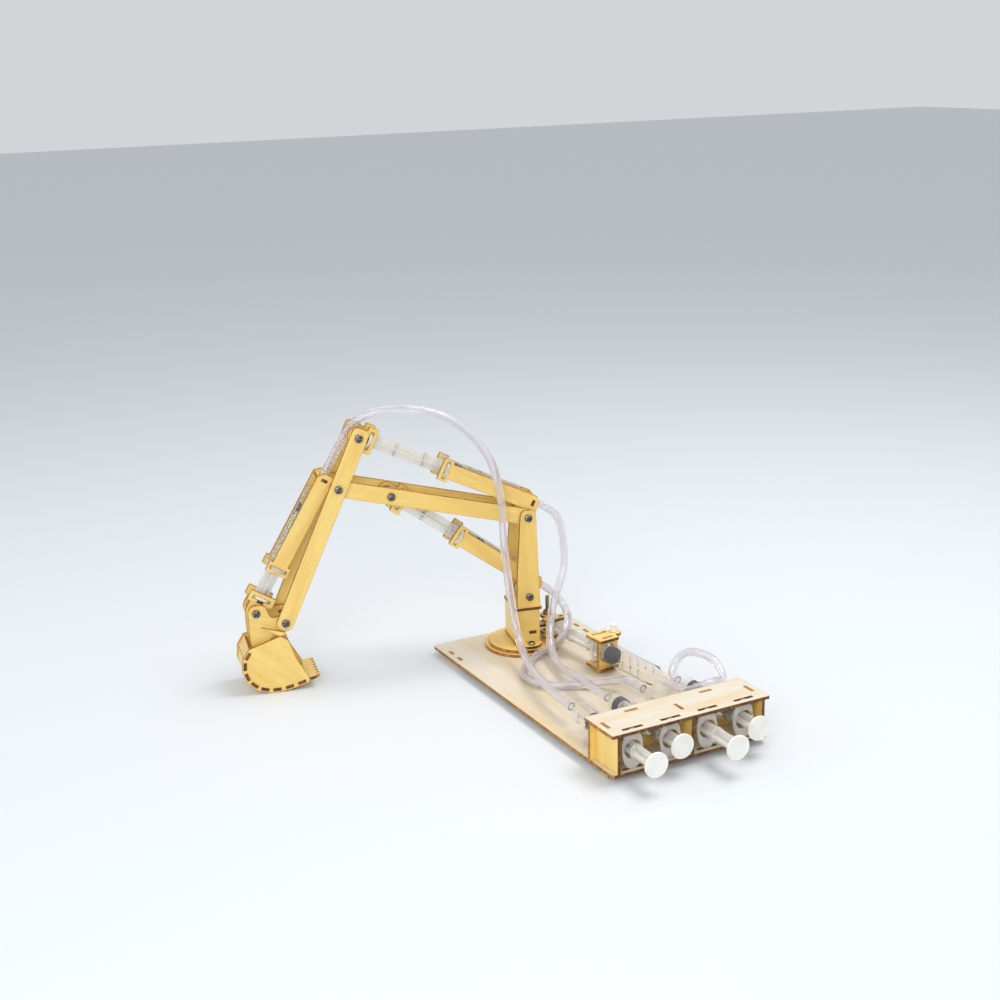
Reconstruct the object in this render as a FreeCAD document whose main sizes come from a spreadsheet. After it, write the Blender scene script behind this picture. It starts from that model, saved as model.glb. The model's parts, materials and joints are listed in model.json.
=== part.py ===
import FreeCAD, Part
import math
import os

Vec = FreeCAD.Vector
Rot = FreeCAD.Rotation
Place = FreeCAD.Placement
UP = Vec(0, 0, 1)

os.makedirs("parts", exist_ok=True)
doc = FreeCAD.newDocument("hydraulic_arm")

# ---------------------------------------------------------------- driving dimensions (mm, degrees)
sheet = doc.addObject("Spreadsheet::Sheet", "Dims")
DIMENSIONS = [
    ("ply", 2.0),              # thickness of the plywood that every flat piece is cut from
    ("slack", 0.1),            # play of a tab in its slot, each side
    ("foot_height", 4.0),      # the board stands this far above the table
    ("board_back", 30.0),      # turntable axis to the board's back edge
    ("board_front", 206.0),    # turntable axis to the board's front edge
    ("board_width", 112.0),
    ("board_corner", 3.0),
    ("rail_offset", 51.0),     # centre of each support rail from the board's middle
    ("rail_back", -17.0),
    ("rail_front", 8.0),
    ("rail_tab", 6.0),
    ("console_back", 175.0),   # back edge of the console's top plate
    ("console_width", 113.0),
    ("console_inner", 23.4),   # clear height under the console's top plate
    ("console_wall", 180.7),   # middle of the console's back wall
    ("side_offset", 51.8),     # middle of a console side wall from the board's middle
    ("bay_pitch", 26.6),       # distance between neighbouring control syringes
    ("flange_x", 201.8),       # plane of the control syringes' finger flanges
    ("control_height", 12.2),  # axis of the control syringes above the board
    ("barrel_bore", 11.8),     # 5 ml syringe
    ("barrel_outer", 13.4),
    ("barrel_length", 58.0),
    ("nozzle_length", 10.5),
    ("nozzle_diameter", 4.2),
    ("nozzle_bore", 2.0),
    ("flange_long", 26.0),
    ("flange_short", 14.4),
    ("flange_thick", 2.0),
    ("seal_diameter", 11.7),
    ("seal_length", 6.0),
    ("rod_width", 9.6),       # cross-shaped plunger rod
    ("rod_web", 1.4),
    ("thumb_diameter", 15.5),
    ("thumb_thick", 1.8),
    ("plunger_length", 69.7),  # seal's front face to the thumb disc's outer face
    ("end_wall", 1.3),         # barrel's shoulder to the seal when it is pushed right in
    ("bolt", 2.9),             # M3 shank
    ("bolt_hole", 3.1),
    ("bolt_head", 5.6),
    ("head_height", 1.9),
    ("nut_width", 5.5),
    ("nut_height", 2.3),
    ("cage_layer", 7.2),       # inner face of a cylinder cage's planks from the arm's middle
    ("boom_layer", 9.5),
    ("outer_layer", 11.8),     # mast planks and stick planks
    ("clevis_layer", 5.0),
    ("bucket_layer", 14.1),
    ("cage_reach", 66.4),      # cage pivot to flange plane, along the cylinder
    ("cage_lug", 10.0),        # cage pivot to cylinder axis, across the cylinder
    ("pin_reach", 9.2),        # middle of the thumb disc to the rod's pin
    ("arm_yaw", 257.3),        # direction of the arm about the vertical, from +X
    ("pivot_u", -1.5),         # mast bolts, along the arm's direction
    ("mast_pivot_z", 102.9),
    ("low_pivot_z", 45.7),
    ("boom_length", 133.5),
    ("boom_angle", 14.2),
    ("boom_pin", 97.0),        # boom cylinder's pin along the boom
    ("boom_half", 5.6),
    ("stick_length", 97.0),
    ("stick_horn", 36.5),      # boom-stick pivot to the stick cylinder's pin
    ("stick_angle", -65.74),
    ("stick_half", 5.7),
    ("bucket_pin_u", 18.9),    # bucket cylinder's pin from the bucket pivot
    ("bucket_pin_z", 8.2),
    ("disc_radius", 24.0),
    ("fixed_disc_radius", 26.5),
    ("disc_gap", 0.3),
    ("crank_radius", 18.5),
    ("swing_axis", 13.4),      # axis of the swing cylinder above the board
    ("swing_pivot_x", 66.0),
    ("swing_pivot_y", 34.0),
    ("swing_lug", 3.2),        # swing pivot to flange plane, along the cylinder
    ("swing_inner", 18.0),     # clear height between the swing bracket's plates
    ("swing_pin", 4.0),
    ("tube", 5.5),             # outer diameter of the silicone tubes
    ("tube_lead", 19.0),       # straight start of a tube at each nozzle
    ("control_boom", 18.4),    # how far each control plunger is drawn out at rest
    ("control_stick", 0.3),
    ("control_bucket", 12.8),
    ("control_swing", 3.4),
]
for row, (alias, value) in enumerate(DIMENSIONS, start=1):
    sheet.set(f"A{row}", alias)
    sheet.set(f"B{row}", str(value))
    sheet.setAlias(f"B{row}", alias)
doc.recompute()


def dim(alias):
    return float(sheet.get(alias))


PLY = dim("ply")
SLACK = dim("slack")
BOARD_TOP = dim("foot_height") + PLY
HOLE = dim("bolt_hole") / 2
NODES = []


# ---------------------------------------------------------------- frames
def turned(x=0.0, y=0.0, z=0.0, angle=0.0):
    return Place(Vec(x, y, z), Rot(UP, angle))


YAW = math.radians(dim("arm_yaw"))
ALONG = Vec(math.cos(YAW), math.sin(YAW), 0)
# the arm's own frame: X along the arm, Y up, Z across it, away from its near side
ARM = Place(Vec(0, 0, 0), Rot(ALONG, UP, ALONG.cross(UP), "XYZ"))
FACING_FRONT = Rot(Vec(0, 1, 0), UP, Vec(1, 0, 0), "XYZ")     # plate seen along the board
FACING_SIDE = Rot(Vec(1, 0, 0), UP, Vec(0, -1, 0), "XYZ")     # plate seen across the board


def polar(length, angle):
    return Vec(length * math.cos(math.radians(angle)), length * math.sin(math.radians(angle)), 0)


MAST_PIVOT = Vec(dim("pivot_u"), dim("mast_pivot_z"), 0)
LOW_PIVOT = Vec(dim("pivot_u"), dim("low_pivot_z"), 0)
STICK_PIVOT = MAST_PIVOT + polar(dim("boom_length"), dim("boom_angle"))
BOOM_PIN = MAST_PIVOT + polar(dim("boom_pin"), dim("boom_angle"))
STICK_PIN = STICK_PIVOT - polar(dim("stick_horn"), dim("stick_angle"))
BUCKET_PIVOT = STICK_PIVOT + polar(dim("stick_length"), dim("stick_angle"))
BUCKET_PIN = BUCKET_PIVOT + Vec(dim("bucket_pin_u"), dim("bucket_pin_z"), 0)


def axis_angle(pivot, pin, lug):
    """Direction of a cylinder whose pivot lies to the right of its axis by the lug's height."""
    line = pin - pivot
    return math.degrees(math.atan2(line.y, line.x) - math.asin(lug / line.Length))


def rest_stroke(pivot, pin, reach):
    """How far a plunger is drawn out when its rod ends at this pin."""
    line = pin - pivot
    along = math.sqrt(line.Length ** 2 - dim("cage_lug") ** 2)
    return along - reach - dim("pin_reach") - disc_middle(0)


def disc_middle(stroke):
    """Middle of the thumb disc, from the flange's middle."""
    return seal_front(stroke) + dim("plunger_length") - dim("thumb_thick") / 2


def seal_front(stroke):
    return dim("end_wall") - dim("barrel_length") + stroke


def cylinder_frame(pivot, pin):
    """X along the cylinder towards its plunger, origin in the middle of the finger flange."""
    angle = axis_angle(pivot, pin, dim("cage_lug"))
    return ARM * turned(pivot.x, pivot.y, 0, angle) * turned(dim("cage_reach"), dim("cage_lug"))


BOOM_FRAME = ARM * turned(MAST_PIVOT.x, MAST_PIVOT.y, 0, dim("boom_angle"))
STICK_FRAME = ARM * turned(STICK_PIVOT.x, STICK_PIVOT.y, 0, dim("stick_angle"))
BUCKET_FRAME = ARM * turned(BUCKET_PIVOT.x, BUCKET_PIVOT.y)
CRANK_PIN = ALONG * -dim("crank_radius")
SWING_PIVOT = Vec(dim("swing_pivot_x"), dim("swing_pivot_y"), 0)
SWING_ANGLE = axis_angle(SWING_PIVOT, CRANK_PIN, dim("cage_lug"))
SWING_FRAME = (turned(SWING_PIVOT.x, SWING_PIVOT.y, BOARD_TOP + dim("swing_axis"), SWING_ANGLE)
               * turned(dim("swing_lug"), dim("cage_lug")))
CYLINDERS = {
    "boom": cylinder_frame(LOW_PIVOT, BOOM_PIN),
    "stick": cylinder_frame(MAST_PIVOT, STICK_PIN),
    "bucket": cylinder_frame(STICK_PIVOT, BUCKET_PIN),
    "swing": SWING_FRAME,
}
STROKES = {
    "boom": rest_stroke(LOW_PIVOT, BOOM_PIN, dim("cage_reach")),
    "stick": rest_stroke(MAST_PIVOT, STICK_PIN, dim("cage_reach")),
    "bucket": rest_stroke(STICK_PIVOT, BUCKET_PIN, dim("cage_reach")),
    "swing": rest_stroke(SWING_PIVOT, CRANK_PIN, dim("swing_lug")),
}
BAYS = {"bucket": -1.5, "stick": -0.5, "boom": 0.5, "swing": 1.5}
# play of each rod's pin in its clevis, which takes up the error of the constant coupling ratios
PIN_PLAY = {"boom": 2.2, "stick": 2.6, "bucket": 3.0, "swing": 1.65}


def control_frame(name):
    return turned(dim("flange_x"), BAYS[name] * dim("bay_pitch"), BOARD_TOP + dim("control_height"))


# ---------------------------------------------------------------- outlines
def rounded(points):
    """Closed outline as lines and tangent arcs; a point is (x, y) or (x, y, corner radius)."""
    count = len(points)
    corners = [Vec(p[0], p[1], 0) for p in points]
    radii = [p[2] if len(p) > 2 else 0.0 for p in points]
    spans = []
    for i, corner in enumerate(corners):
        back = (corners[i - 1] - corner).normalize()
        ahead = (corners[(i + 1) % count] - corner).normalize()
        if radii[i] == 0.0:
            spans.append((corner, None, corner))
            continue
        half = back.getAngle(ahead) / 2
        reach = radii[i] / math.tan(half)
        middle = corner + (back + ahead).normalize() * (radii[i] / math.sin(half) - radii[i])
        spans.append((corner + back * reach, middle, corner + ahead * reach))
    edges = []
    for i, (start, middle, end) in enumerate(spans):
        if middle is not None:
            edges.append(Part.Arc(start, middle, end))
        following = spans[(i + 1) % count][0]
        if (following - end).Length > 1e-6:
            edges.append(Part.LineSegment(end, following))
    return edges


def rectangle(x0, y0, x1, y1, radius=0.0):
    return rounded([(x0, y0, radius), (x1, y0, radius), (x1, y1, radius), (x0, y1, radius)])


def bar(x0, x1, half, radius):
    """A straight plank with rounded ends."""
    return rectangle(x0, -half, x1, half, radius)


def hole(x, y, radius=None):
    return [Part.Circle(Vec(x, y, 0), UP, HOLE if radius is None else radius)]


def slot(x, y, length, width):
    """A slot for a tab, with the tab's play added."""
    a, b = length / 2 + SLACK, width / 2 + SLACK
    return rectangle(x - a, y - b, x + a, y + b)


# ---------------------------------------------------------------- making pieces
def keep(obj, label):
    obj.Label = label
    NODES.append(obj)
    return obj


def plate(name, outline, holes=(), frame=Place(), lift=0.0):
    """A plywood piece: a sketch padded by the ply's thickness, lifted along the frame's Z."""
    body = doc.addObject("PartDesign::Body", name)
    sketch = body.newObject("Sketcher::SketchObject", name + "_outline")
    plane = next(o for o in body.Origin.OriginFeatures if o.Role == "XY_Plane")
    sketch.AttachmentSupport = [(plane, "")]
    sketch.MapMode = "FlatFace"
    sketch.addGeometry(list(outline) + [edge for loop in holes for edge in loop], False)
    pad = body.newObject("PartDesign::Pad", name + "_pad")
    pad.Profile = sketch
    pad.setExpression("Length", "Dims.ply")
    body.Placement = frame * Place(Vec(0, 0, lift), Rot())
    return body


def near_and_far(layer):
    """Lifts of the near and the far plank whose inner faces lie at this distance from the middle."""
    return {"near": -dim(layer) - PLY, "far": dim(layer)}


def cylinder(name, radius, height, frame=Place()):
    obj = doc.addObject("Part::Cylinder", name)
    for prop, value in (("Radius", radius), ("Height", height)):
        if isinstance(value, str):
            obj.setExpression(prop, value)
        else:
            setattr(obj, prop, value)
    obj.Placement = frame
    return obj


def box(name, x, y, z, corner):
    obj = doc.addObject("Part::Box", name)
    for prop, value in (("Length", x), ("Width", y), ("Height", z)):
        if isinstance(value, str):
            obj.setExpression(prop, value)
        else:
            setattr(obj, prop, value)
    obj.Placement = Place(Vec(*corner), Rot())
    return obj


def fuse(name, shapes):
    obj = doc.addObject("Part::MultiFuse", name)
    obj.Shapes = shapes
    return obj


def cut(name, base, tool, frame=Place()):
    obj = doc.addObject("Part::Cut", name)
    obj.Base = base
    obj.Tool = tool
    obj.Placement = frame
    return obj


def group(name, pieces):
    obj = doc.addObject("Part::Compound", name)
    obj.Links = pieces
    return obj


def along_x(x=0.0, y=0.0, z=0.0):
    return Place(Vec(x, y, z), Rot(UP, Vec(1, 0, 0)))


# ---------------------------------------------------------------- syringes
def barrel(name, frame):
    """Barrel, finger flange and nozzle; the barrel runs back along -X from the flange."""
    length, nozzle = dim("barrel_length"), dim("nozzle_length")
    outer = cylinder(name + "_outer", "Dims.barrel_outer / 2", "Dims.barrel_length", along_x(-length))
    tip = cylinder(name + "_tip", "Dims.nozzle_diameter / 2", nozzle + 1, along_x(-length - nozzle))
    oval = doc.addObject("Part::Ellipse", name + "_oval")
    oval.setExpression("MajorRadius", "Dims.flange_long / 2")
    oval.setExpression("MinorRadius", "Dims.flange_short / 2")
    oval.Placement = Place(Vec(-dim("flange_thick") / 2, 0, 0), Rot(UP, Vec(0, -1, 0), Vec(1, 0, 0), "XYZ"))
    flange = doc.addObject("Part::Extrusion", name + "_flange")
    flange.Base = oval
    flange.Dir = Vec(1, 0, 0)
    flange.setExpression("LengthFwd", "Dims.flange_thick")
    flange.Solid = True
    bore = cylinder(name + "_bore", "Dims.barrel_bore / 2", length, along_x(-length + 1.2))
    channel = cylinder(name + "_channel", "Dims.nozzle_bore / 2", nozzle + 4, along_x(-length - nozzle - 1))
    solid = fuse(name + "_solid", [outer, tip, flange])
    hollow = fuse(name + "_hollow", [bore, channel])
    return cut(name, solid, hollow, frame)


def seal(name, frame, stroke):
    """Rubber piston at the plunger's front end, a running fit in the barrel."""
    return cylinder(name, "Dims.seal_diameter / 2", "Dims.seal_length", frame * along_x(seal_front(stroke)))


def plunger(name, frame, stroke):
    """Cross-shaped rod with a small disc behind the seal and a thumb disc at the outer end."""
    front = seal_front(stroke) + dim("seal_length")
    back = seal_front(stroke) + dim("plunger_length")
    width, web, thumb = dim("rod_width"), dim("rod_web"), dim("thumb_thick")
    collar = cylinder(name + "_collar", "Dims.rod_width / 2", 1.6, along_x(front))
    upright = box(name + "_upright", back - front, web, width, (front, -web / 2, -width / 2))
    across = box(name + "_across", back - front, width, web, (front, -width / 2, -web / 2))
    disc = cylinder(name + "_thumb", "Dims.thumb_diameter / 2", "Dims.thumb_thick", along_x(back - thumb))
    obj = fuse(name, [collar, upright, across, disc])
    obj.Placement = frame
    return obj


# ---------------------------------------------------------------- fasteners
def bolt(name, frame, x, y, start, end):
    """An M3 bolt along the frame's Z: its head outside start, its nut outside end."""
    height, nut_height = dim("head_height"), dim("nut_height")
    shank = cylinder(name + "_shank", "Dims.bolt / 2", end - start + nut_height + 2,
                     Place(Vec(x, y, start - 0.5), Rot()))
    head = cylinder(name + "_head", "Dims.bolt_head / 2", "Dims.head_height",
                    Place(Vec(x, y, start - height), Rot()))
    body = fuse(name + "_bolt", [shank, head])
    body.Placement = frame
    blank = doc.addObject("Part::Prism", name + "_blank")
    blank.Polygon = 6
    blank.Circumradius = dim("nut_width") / math.sqrt(3)
    blank.Height = nut_height
    blank.Placement = Place(Vec(x, y, end), Rot())
    thread = cylinder(name + "_thread", HOLE, nut_height + 2, Place(Vec(x, y, end - 1), Rot()))
    return [body, cut(name + "_nut", blank, thread, frame)]


# ---------------------------------------------------------------- base
def make_base():
    back, front, half = -dim("board_back"), dim("board_front"), dim("board_width") / 2
    rail_tabs = (dim("rail_back") + 6, dim("rail_front") - 6)
    side = dim("side_offset")
    tab = 8.6
    tab_x = 191.3
    holes = [hole(0, 0)]
    holes += [hole(SWING_PIVOT.x, SWING_PIVOT.y, dim("swing_pin") / 2 + 0.05)]
    holes += [slot(x, sign * dim("rail_offset"), dim("rail_tab"), PLY) for x in rail_tabs for sign in (1, -1)]
    holes += [slot(tab_x, y, tab, PLY) for y in (-side, 0, side)]
    holes += [slot(dim("flange_x"), k * dim("bay_pitch"), dim("flange_thick"), 13.6) for k in BAYS.values()]
    board = plate("base_board", rectangle(back, -half, front, half, dim("board_corner")), holes,
                  turned(z=dim("foot_height")))
    keep(board, "base_board")

    rails = []
    for sign, name in ((-1, "rail_near"), (1, "rail_far")):
        start, end, foot = dim("rail_back"), dim("rail_front"), dim("foot_height")
        long = dim("rail_tab") / 2
        outline = [(start, 0), (end, 0), (end, foot)]
        for x in reversed(rail_tabs):
            outline += [(x + long, foot), (x + long, foot + PLY), (x - long, foot + PLY), (x - long, foot)]
        outline += [(start, foot)]
        frame = Place(Vec(0, sign * dim("rail_offset") + PLY / 2, 0), FACING_SIDE)
        rails.append(plate(name, rounded(outline), (), frame))
    keep(group("base_rails", rails), "base_rails")

    keep(plate("turntable_base", rounded_disc(dim("fixed_disc_radius")), [hole(0, 0)],
               turned(z=BOARD_TOP)), "turntable_base")
    return tab, tab_x


def rounded_disc(radius):
    return [Part.Circle(Vec(0, 0, 0), UP, radius)]


def make_console(tab, tab_x):
    inner, wall_x, side = dim("console_inner"), dim("console_wall"), dim("side_offset")
    back, front, half = dim("console_back"), dim("board_front") + 0.5, dim("console_width") / 2
    back_tabs = (-27.0, 27.0)
    holes = [slot(tab_x, y, tab, PLY) for y in (-side, 0, side)]
    holes += [slot(wall_x, y, PLY, tab) for y in back_tabs]
    holes += [slot(dim("flange_x"), k * dim("bay_pitch"), dim("flange_thick"), 13.6) for k in BAYS.values()]
    keep(plate("console_top", rectangle(back, -half, front, half, 1.0), holes,
               turned(z=BOARD_TOP + inner)), "console_top")

    outline = [(-half, 0), (half, 0), (half, inner)]
    for y in reversed(back_tabs):
        outline += [(y + tab / 2, inner), (y + tab / 2, inner + PLY), (y - tab / 2, inner + PLY), (y - tab / 2, inner)]
    outline += [(-half, inner)]
    barrel_hole = dim("barrel_outer") / 2 + 0.3
    holes = [hole(k * dim("bay_pitch"), dim("control_height"), barrel_hole) for k in BAYS.values()]
    frame = Place(Vec(wall_x - PLY / 2, 0, BOARD_TOP), FACING_FRONT)
    keep(plate("console_back_wall", rounded(outline), holes, frame), "console_back_wall")

    start, end, foot = wall_x + PLY / 2, front - 0.3, -BOARD_TOP
    walls = []
    for y, name in ((-side, "console_side_left"), (0, "console_middle"), (side, "console_side_right")):
        low, high = tab_x - tab / 2, tab_x + tab / 2
        outline = [(start, 0), (low, 0), (low, foot), (high, foot), (high, 0), (end, 0), (end, inner),
                   (high, inner), (high, inner + PLY), (low, inner + PLY), (low, inner), (start, inner)]
        frame = Place(Vec(0, y + PLY / 2, BOARD_TOP), FACING_SIDE)
        walls.append(plate(name, rounded(outline), (), frame))
    keep(group("console_sides", [walls[0], walls[2]]), "console_sides")
    keep(walls[1], "console_divider")


def make_controls():
    barrels = [barrel("control_barrel_" + name, control_frame(name)) for name in BAYS]
    keep(group("control_barrels", barrels), "control_barrels")
    for name in BAYS:
        stroke = dim("control_" + name)
        frame = control_frame(name)
        rod = plunger("control_rod_" + name, frame, stroke)
        piston = seal("control_seal_" + name, frame, stroke)
        keep(group("control_plunger_" + name, [rod, piston]), "control_plunger_" + name)


# ---------------------------------------------------------------- turntable and mast
def make_turntable():
    disc_z = BOARD_TOP + PLY + dim("disc_gap")
    foot_z = disc_z + PLY
    lower_z = foot_z + PLY
    shelf_z = 36.3
    foot_bolts = [(-1.0, sign * 18.0) for sign in (1, -1)]
    flat = Place(Vec(0, 0, 0), Rot(UP, dim("arm_yaw")))
    holes = [hole(0, 0)] + [hole(u, w) for u, w in foot_bolts]
    keep(plate("turntable_disc", rounded_disc(dim("disc_radius")), holes, flat, disc_z), "turntable_disc")
    holes = [hole(0, 0, 4.0)] + [hole(u, w) for u, w in foot_bolts]
    foot = rectangle(-9.5, -22.5, 8.4, 22.5, 8.4)
    keep(plate("mast_foot", foot, holes, flat, foot_z), "mast_foot")

    crank_z = BOARD_TOP + dim("swing_axis") - PLY / 2
    pin = -dim("crank_radius")
    layer = dim("outer_layer")
    crank = rounded([(4, -layer + 0.2), (-1, -layer + 0.2), (-1, -layer - PLY), (-6, -layer - PLY),
                     (-6, -layer + 0.2), (-6.4, -4.4), (pin - 4.4, -4.4, 4.3), (pin - 4.4, 4.4, 4.3),
                     (-6.4, 4.4), (-6, layer - 0.2), (-6, layer + PLY), (-1, layer + PLY),
                     (-1, layer - 0.2), (4, layer - 0.2)])
    keep(plate("swing_crank", crank, [hole(pin, 0)], flat, crank_z), "swing_crank")

    crank_slot = slot(-3.5, crank_z + PLY / 2, 5.0, PLY)
    lower = [(-8.5, lower_z), (6.5, lower_z), (6.5, shelf_z), (-8.5, shelf_z)]
    top = MAST_PIVOT.y + 5.4
    upper = [(-9.3, shelf_z + PLY), (7.3, shelf_z + PLY), (6.9, 62.0), (4.2, top - 5, 2), (3.4, top, 3.5),
             (-6.4, top, 3.5), (-7.1, top - 5, 2), (-8.2, 66.0)]
    bolts = [hole(MAST_PIVOT.x, MAST_PIVOT.y), hole(LOW_PIVOT.x, LOW_PIVOT.y)]
    base = []
    for side, lift in near_and_far("outer_layer").items():
        base.append(plate("mast_base_" + side, rounded(lower), [crank_slot], ARM, lift))
        keep(plate("mast_plank_" + side, rounded(upper), bolts, ARM, lift), "mast_plank_" + side)
    front = Place(Vec(0, 0, 0), Rot(UP, dim("arm_yaw"))) * Place(Vec(6.5, 0, lower_z), FACING_FRONT)
    width = dim("outer_layer") + PLY
    base.append(plate("mast_front", rectangle(-width, 0, width, shelf_z - lower_z), (), front))
    keep(group("mast_base", base), "mast_base")
    shelf = rectangle(-10, -15, 9, 15, 0.8)
    keep(plate("mast_shelf", shelf, (), flat, shelf_z), "mast_shelf")

    reach = layer + PLY
    pieces = bolt("top", ARM, MAST_PIVOT.x, MAST_PIVOT.y, -reach, reach)
    pieces += bolt("low", ARM, LOW_PIVOT.x, LOW_PIVOT.y, -reach, reach)
    down = Rot(Vec(1, 0, 0), 180)
    for index, (u, w) in enumerate(foot_bolts):
        top_down = flat * Place(Vec(u, w, lower_z), down)
        shank = cylinder(f"foot_{index}_shank", "Dims.bolt / 2", lower_z - disc_z - 0.1, Place(Vec(0, 0, 0), Rot()))
        head = cylinder(f"foot_{index}_head", "Dims.bolt_head / 2", 1.7, Place(Vec(0, 0, -1.7), Rot()))
        body = fuse(f"foot_{index}", [shank, head])
        body.Placement = top_down
        pieces.append(body)
    keep(group("mast_bolts", pieces), "mast_bolts")

    low, high = disc_z + PLY + 0.1, 40.0
    shank = cylinder("crank_shank", "Dims.bolt / 2", high - low, turned(z=low))
    head = cylinder("crank_head", 2.6, 1.5, turned(z=low))
    body = fuse("crank_pin_body", [shank, head])
    body.Placement = flat * turned(pin, 0, 0)
    nut = cylinder("crank_nut_blank", 2.9, dim("nut_height"), turned(z=0))
    thread = cylinder("crank_nut_thread", HOLE, dim("nut_height") + 2, turned(z=-1))
    nut = cut("crank_nut", nut, thread, flat * turned(pin, 0, BOARD_TOP + dim("swing_axis") + 7.3))
    keep(group("crank_pin", [body, nut]), "crank_pin")

    head_height = dim("foot_height") - PLY
    shank = cylinder("centre_shank", "Dims.bolt / 2", foot_z + 3.4)
    head = cylinder("centre_head", "Dims.bolt_head / 2", head_height)
    washer = cylinder("centre_washer", 5.5, "Dims.ply", turned(z=head_height))
    keep(fuse("turntable_bolt", [shank, head, washer]), "turntable_bolt")


# ---------------------------------------------------------------- boom, stick and bucket
def make_boom():
    length, half = dim("boom_length"), dim("boom_half")
    holes = [hole(0, 0), hole(length, 0), hole(dim("boom_pin"), 0)]
    for side, lift in near_and_far("boom_layer").items():
        outline = bar(-half, length + half, half, half - 0.1)
        keep(plate("boom_plank_" + side, outline, holes, BOOM_FRAME, lift), "boom_plank_" + side)
    reach = dim("boom_layer") + PLY
    thin = bolt_pin("boom_pin", BOOM_FRAME, dim("boom_pin"), 0, reach, 2.0)
    keep(group("boom_bolt", thin), "boom_bolt")


def bolt_pin(name, frame, x, y, reach, end_height):
    """A pin with a head on each side, flat enough to pass under the planks outside it."""
    shank = cylinder(name + "_shank", "Dims.bolt / 2", 2 * reach + 2 * end_height,
                     Place(Vec(x, y, -reach - end_height), Rot()))
    heads = []
    for start in (-reach - end_height, reach):
        heads.append(cylinder(f"{name}_head_{len(heads)}", "Dims.bolt_head / 2", end_height,
                              Place(Vec(x, y, start), Rot())))
    body = fuse(name + "_body", [shank] + heads)
    body.Placement = frame
    return [body]


def make_stick():
    horn, length, half = dim("stick_horn"), dim("stick_length"), dim("stick_half")
    holes = [hole(0, 0), hole(-horn, 0), hole(length, 0)]
    outline = rounded([(-horn - 6.4, -half, 3.0), (length + 5.6, -half, 5.4),
                       (length + 5.6, half, 5.4), (-horn - 6.4, half, 3.0)])
    for side, lift in near_and_far("outer_layer").items():
        keep(plate("stick_plank_" + side, outline, holes, STICK_FRAME, lift), "stick_plank_" + side)
    reach = dim("outer_layer") + PLY
    pieces = []
    for index, x in enumerate((0, -horn)):
        pieces += bolt(f"stick_{index}", STICK_FRAME, x, 0, -reach, reach)
    pieces += bolt_pin("stick_end", STICK_FRAME, length, 0, reach, 1.9)
    keep(group("stick_bolts", pieces), "stick_bolts")


# the bucket's curved floor, from the digging edge round to the back, in the bucket's frame
BUCKET_FLOOR = [(-12.6, -42.2), (-4.4, -44.6), (4.2, -46.3), (12.9, -46.4), (20.8, -44.0),
                (27.2, -38.3), (30.2, -30.6), (29.6, -22.4), (25.2, -15.4)]


def make_bucket():
    layer = dim("bucket_layer")
    half = layer + PLY
    segments = []
    slats = []
    for index, (start, end) in enumerate(zip(BUCKET_FLOOR, BUCKET_FLOOR[1:])):
        a, b = Vec(*start, 0), Vec(*end, 0)
        length = (b - a).Length
        angle = math.degrees(math.atan2(b.y - a.y, b.x - a.x))
        segments.append((index, a, length, angle))
    for index, a, length, angle in segments:
        tab, gap = 2.6, 0.25
        frame = BUCKET_FRAME * turned(a.x, a.y, 0, angle)
        middle = length / 2
        outline = [(gap, -layer + SLACK), (middle - tab, -layer + SLACK), (middle - tab, -half),
                   (middle + tab, -half), (middle + tab, -layer + SLACK), (length - gap, -layer + SLACK),
                   (length - gap, layer - SLACK), (middle + tab, layer - SLACK), (middle + tab, half),
                   (middle - tab, half), (middle - tab, layer - SLACK), (gap, layer - SLACK)]
        on_edge = frame * Place(Vec(0, 0, 0), Rot(Vec(1, 0, 0), Vec(0, 0, 1), Vec(0, -1, 0), "XYZ"))
        slats.append(plate(f"slat_{index}", rounded(outline), (), on_edge, -PLY))
    keep(group("bucket_slats", slats), "bucket_slats")

    inset = PLY / 2
    holes = []
    for index, a, length, angle in segments:
        centre = a + polar(length / 2, angle) + polar(inset, angle + 90)
        holes.append(tilted_slot(centre, 5.2, PLY, angle))
    top = [(16.9, -0.4), (-0.9, -6.1, 0.8)]
    throat = [(-0.6, -11.0, 6), (-5.5, -25.5, 20), (-13.6, -39.8, 0.8)]
    floor = [(x, y) for x, y in BUCKET_FLOOR]
    rim = offset_chain(floor, 0.9)
    outline = rounded(list(reversed(top)) + throat + rim)
    for side, lift in near_and_far("bucket_layer").items():
        keep(plate("bucket_side_" + side, outline, holes, BUCKET_FRAME, lift), "bucket_side_" + side)
    make_teeth(half)
    make_ears()


def offset_chain(points, distance):
    """The chain of points moved outwards, with small corner radii."""
    moved = []
    for i, (x, y) in enumerate(points):
        before = Vec(*points[max(i - 1, 0)], 0)
        after = Vec(*points[min(i + 1, len(points) - 1)], 0)
        run = (after - before).normalize()
        moved.append((x + run.y * distance, y - run.x * distance, 3.0 if 0 < i < len(points) - 1 else 0.6))
    return moved


def tilted_slot(centre, length, width, angle):
    a, b = length / 2 + SLACK, width / 2 + SLACK
    ends = []
    for x, y in ((-a, -b), (a, -b), (a, b), (-a, b)):
        point = centre + polar(1, angle) * x + polar(1, angle + 90) * y
        ends.append((point.x, point.y))
    return rounded(ends)


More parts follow.
